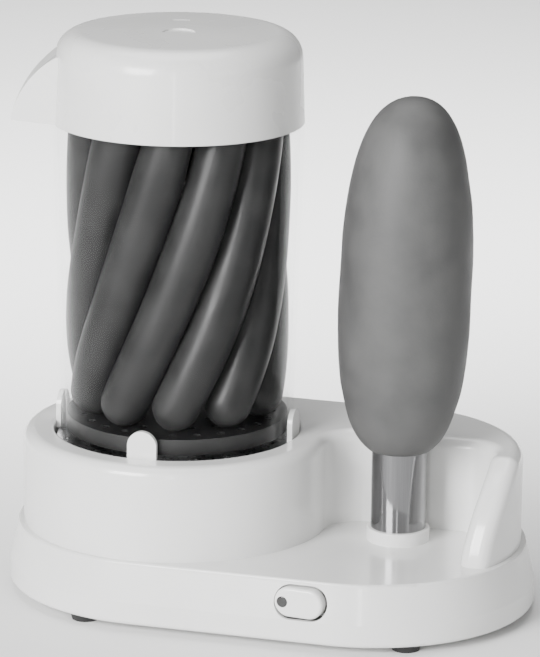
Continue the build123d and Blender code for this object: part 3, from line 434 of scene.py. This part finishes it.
# ---- Bread roll ----
# A long soft-crusted roll, bored from below and pushed over the hot spike. It leans a
# little, and its baked crust is uneven with shallow dents and fine pores.
roll_low, roll_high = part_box("bread_roll")
spike_low, spike_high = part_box("spike_tube")
spike_axis = (spike_low + spike_high) / 2
roll_radius = (roll_high.x - roll_low.x) / 2
roll_bore = 0.0149
roll_bore_top = spike_high.z + 0.0006
roll_bore_step = 0.003       # first ring of the bore above its mouth
roll_mouth = 0.0008          # soft edge round the mouth of the bore
roll_bottom = 0.0803         # where the heel's curve would meet the axis
roll_waist = roll_low.z + 0.45 * (roll_high.z - roll_low.z)
roll_fullness = 0.7          # how far the curves stay full before they turn in
roll_heel_fullness = 0.76
crown_steps = 40
heel_steps = 48
bore_steps = 10
turn_steps = 96
roll_lean = 0.0045
crust_dent = 0.0009
dent_scale = 26
fine_dent_scale = 61


def curve_point(share, corners):
    """A point on a four-cornered Bezier curve, as distance from the axis and height."""
    weights = (
        (1 - share) ** 3, 3 * share * (1 - share) ** 2, 3 * share ** 2 * (1 - share), share ** 3,
    )
    return tuple(sum(w * c[i] for w, c in zip(weights, corners)) for i in (0, 1))


roll_crown = (
    (0, roll_high.z), (roll_fullness * roll_radius, roll_high.z),
    (roll_radius, roll_waist + roll_fullness * (roll_high.z - roll_waist)),
    (roll_radius, roll_waist),
)
roll_heel = (
    (roll_radius, roll_waist),
    (roll_radius, roll_waist - roll_fullness * (roll_waist - roll_bottom)),
    (roll_heel_fullness * roll_radius, roll_bottom), (0, roll_bottom),
)
roll_profile = [curve_point(step / crown_steps, roll_crown) for step in range(crown_steps + 1)]
for step in range(1, heel_steps + 1):
    heel_point = curve_point(step / heel_steps, roll_heel)
    if heel_point[0] > roll_bore + roll_mouth:
        roll_profile.append(heel_point)
roll_profile.append((roll_bore, roll_low.z + roll_mouth))
bore_start = roll_low.z + roll_bore_step
for step in range(bore_steps + 1):
    roll_profile.append((roll_bore, bore_start + (roll_bore_top - bore_start) * step / bore_steps))
roll_profile.append((0, roll_bore_top))
roll_form = bmesh.new()
roll_verts = [
    roll_form.verts.new((spike_axis.x + reach, spike_axis.y, height)) for reach, height in roll_profile
]
roll_edges = [roll_form.edges.new(pair) for pair in zip(roll_verts, roll_verts[1:])]
bmesh.ops.spin(
    roll_form, geom=roll_verts + roll_edges, cent=(spike_axis.x, spike_axis.y, 0),
    axis=(0, 0, 1), angle=2 * math.pi, steps=turn_steps, use_merge=True,
)
bmesh.ops.remove_doubles(roll_form, verts=roll_form.verts, dist=1e-6)
bmesh.ops.recalc_face_normals(roll_form, faces=roll_form.faces)
for vert in roll_form.verts:
    from_axis = Vector((vert.co.x - spike_axis.x, vert.co.y - spike_axis.y, 0))
    high_share = (vert.co.z - roll_low.z) / (roll_high.z - roll_low.z)
    in_bore = from_axis.length <= roll_bore + 0.0001 and vert.co.z < roll_bore_top + 0.0001
    if not in_bore:
        dent = noise.noise(vert.co * dent_scale) + 0.5 * noise.noise(vert.co * fine_dent_scale)
        vert.co -= from_axis.normalized() * crust_dent * max(0, dent)
        vert.co.x += roll_lean * high_share ** 1.5
crust_dark = (0.062, 0.062, 0.062)
crust_light = (0.086, 0.086, 0.085)
crust_pore = 0.0002
crust, crust_nodes, crust_links, crust_shader = new_material("bread_crust")
crust_clouds = object_noise(crust_nodes, crust_links, 55, 6)
crust_shade = ramp(crust_nodes, crust_links, crust_clouds, crust_dark, crust_light, *usual_noise)
crust_links.new(crust_shade, crust_shader.inputs["Base Color"])
crust_gloss = value_range(crust_nodes, crust_links, crust_clouds, 0.5, 0.68)
crust_links.new(crust_gloss, crust_shader.inputs["Roughness"])
crust_pores = object_noise(crust_nodes, crust_links, 700, 5)
bumps(crust_nodes, crust_links, crust_pores, crust_pore, 0.45, crust_shader)
new_piece("bun", roll_form, "roll", crust, ("bread_roll",))

# ---- Lid ----
# Deep satin white cap with a rounded shoulder and a pouring lip.
finish_node("lid", moulded_plastic("lid_plastic", (0.76, 0.76, 0.75), 0.28, 0.3))
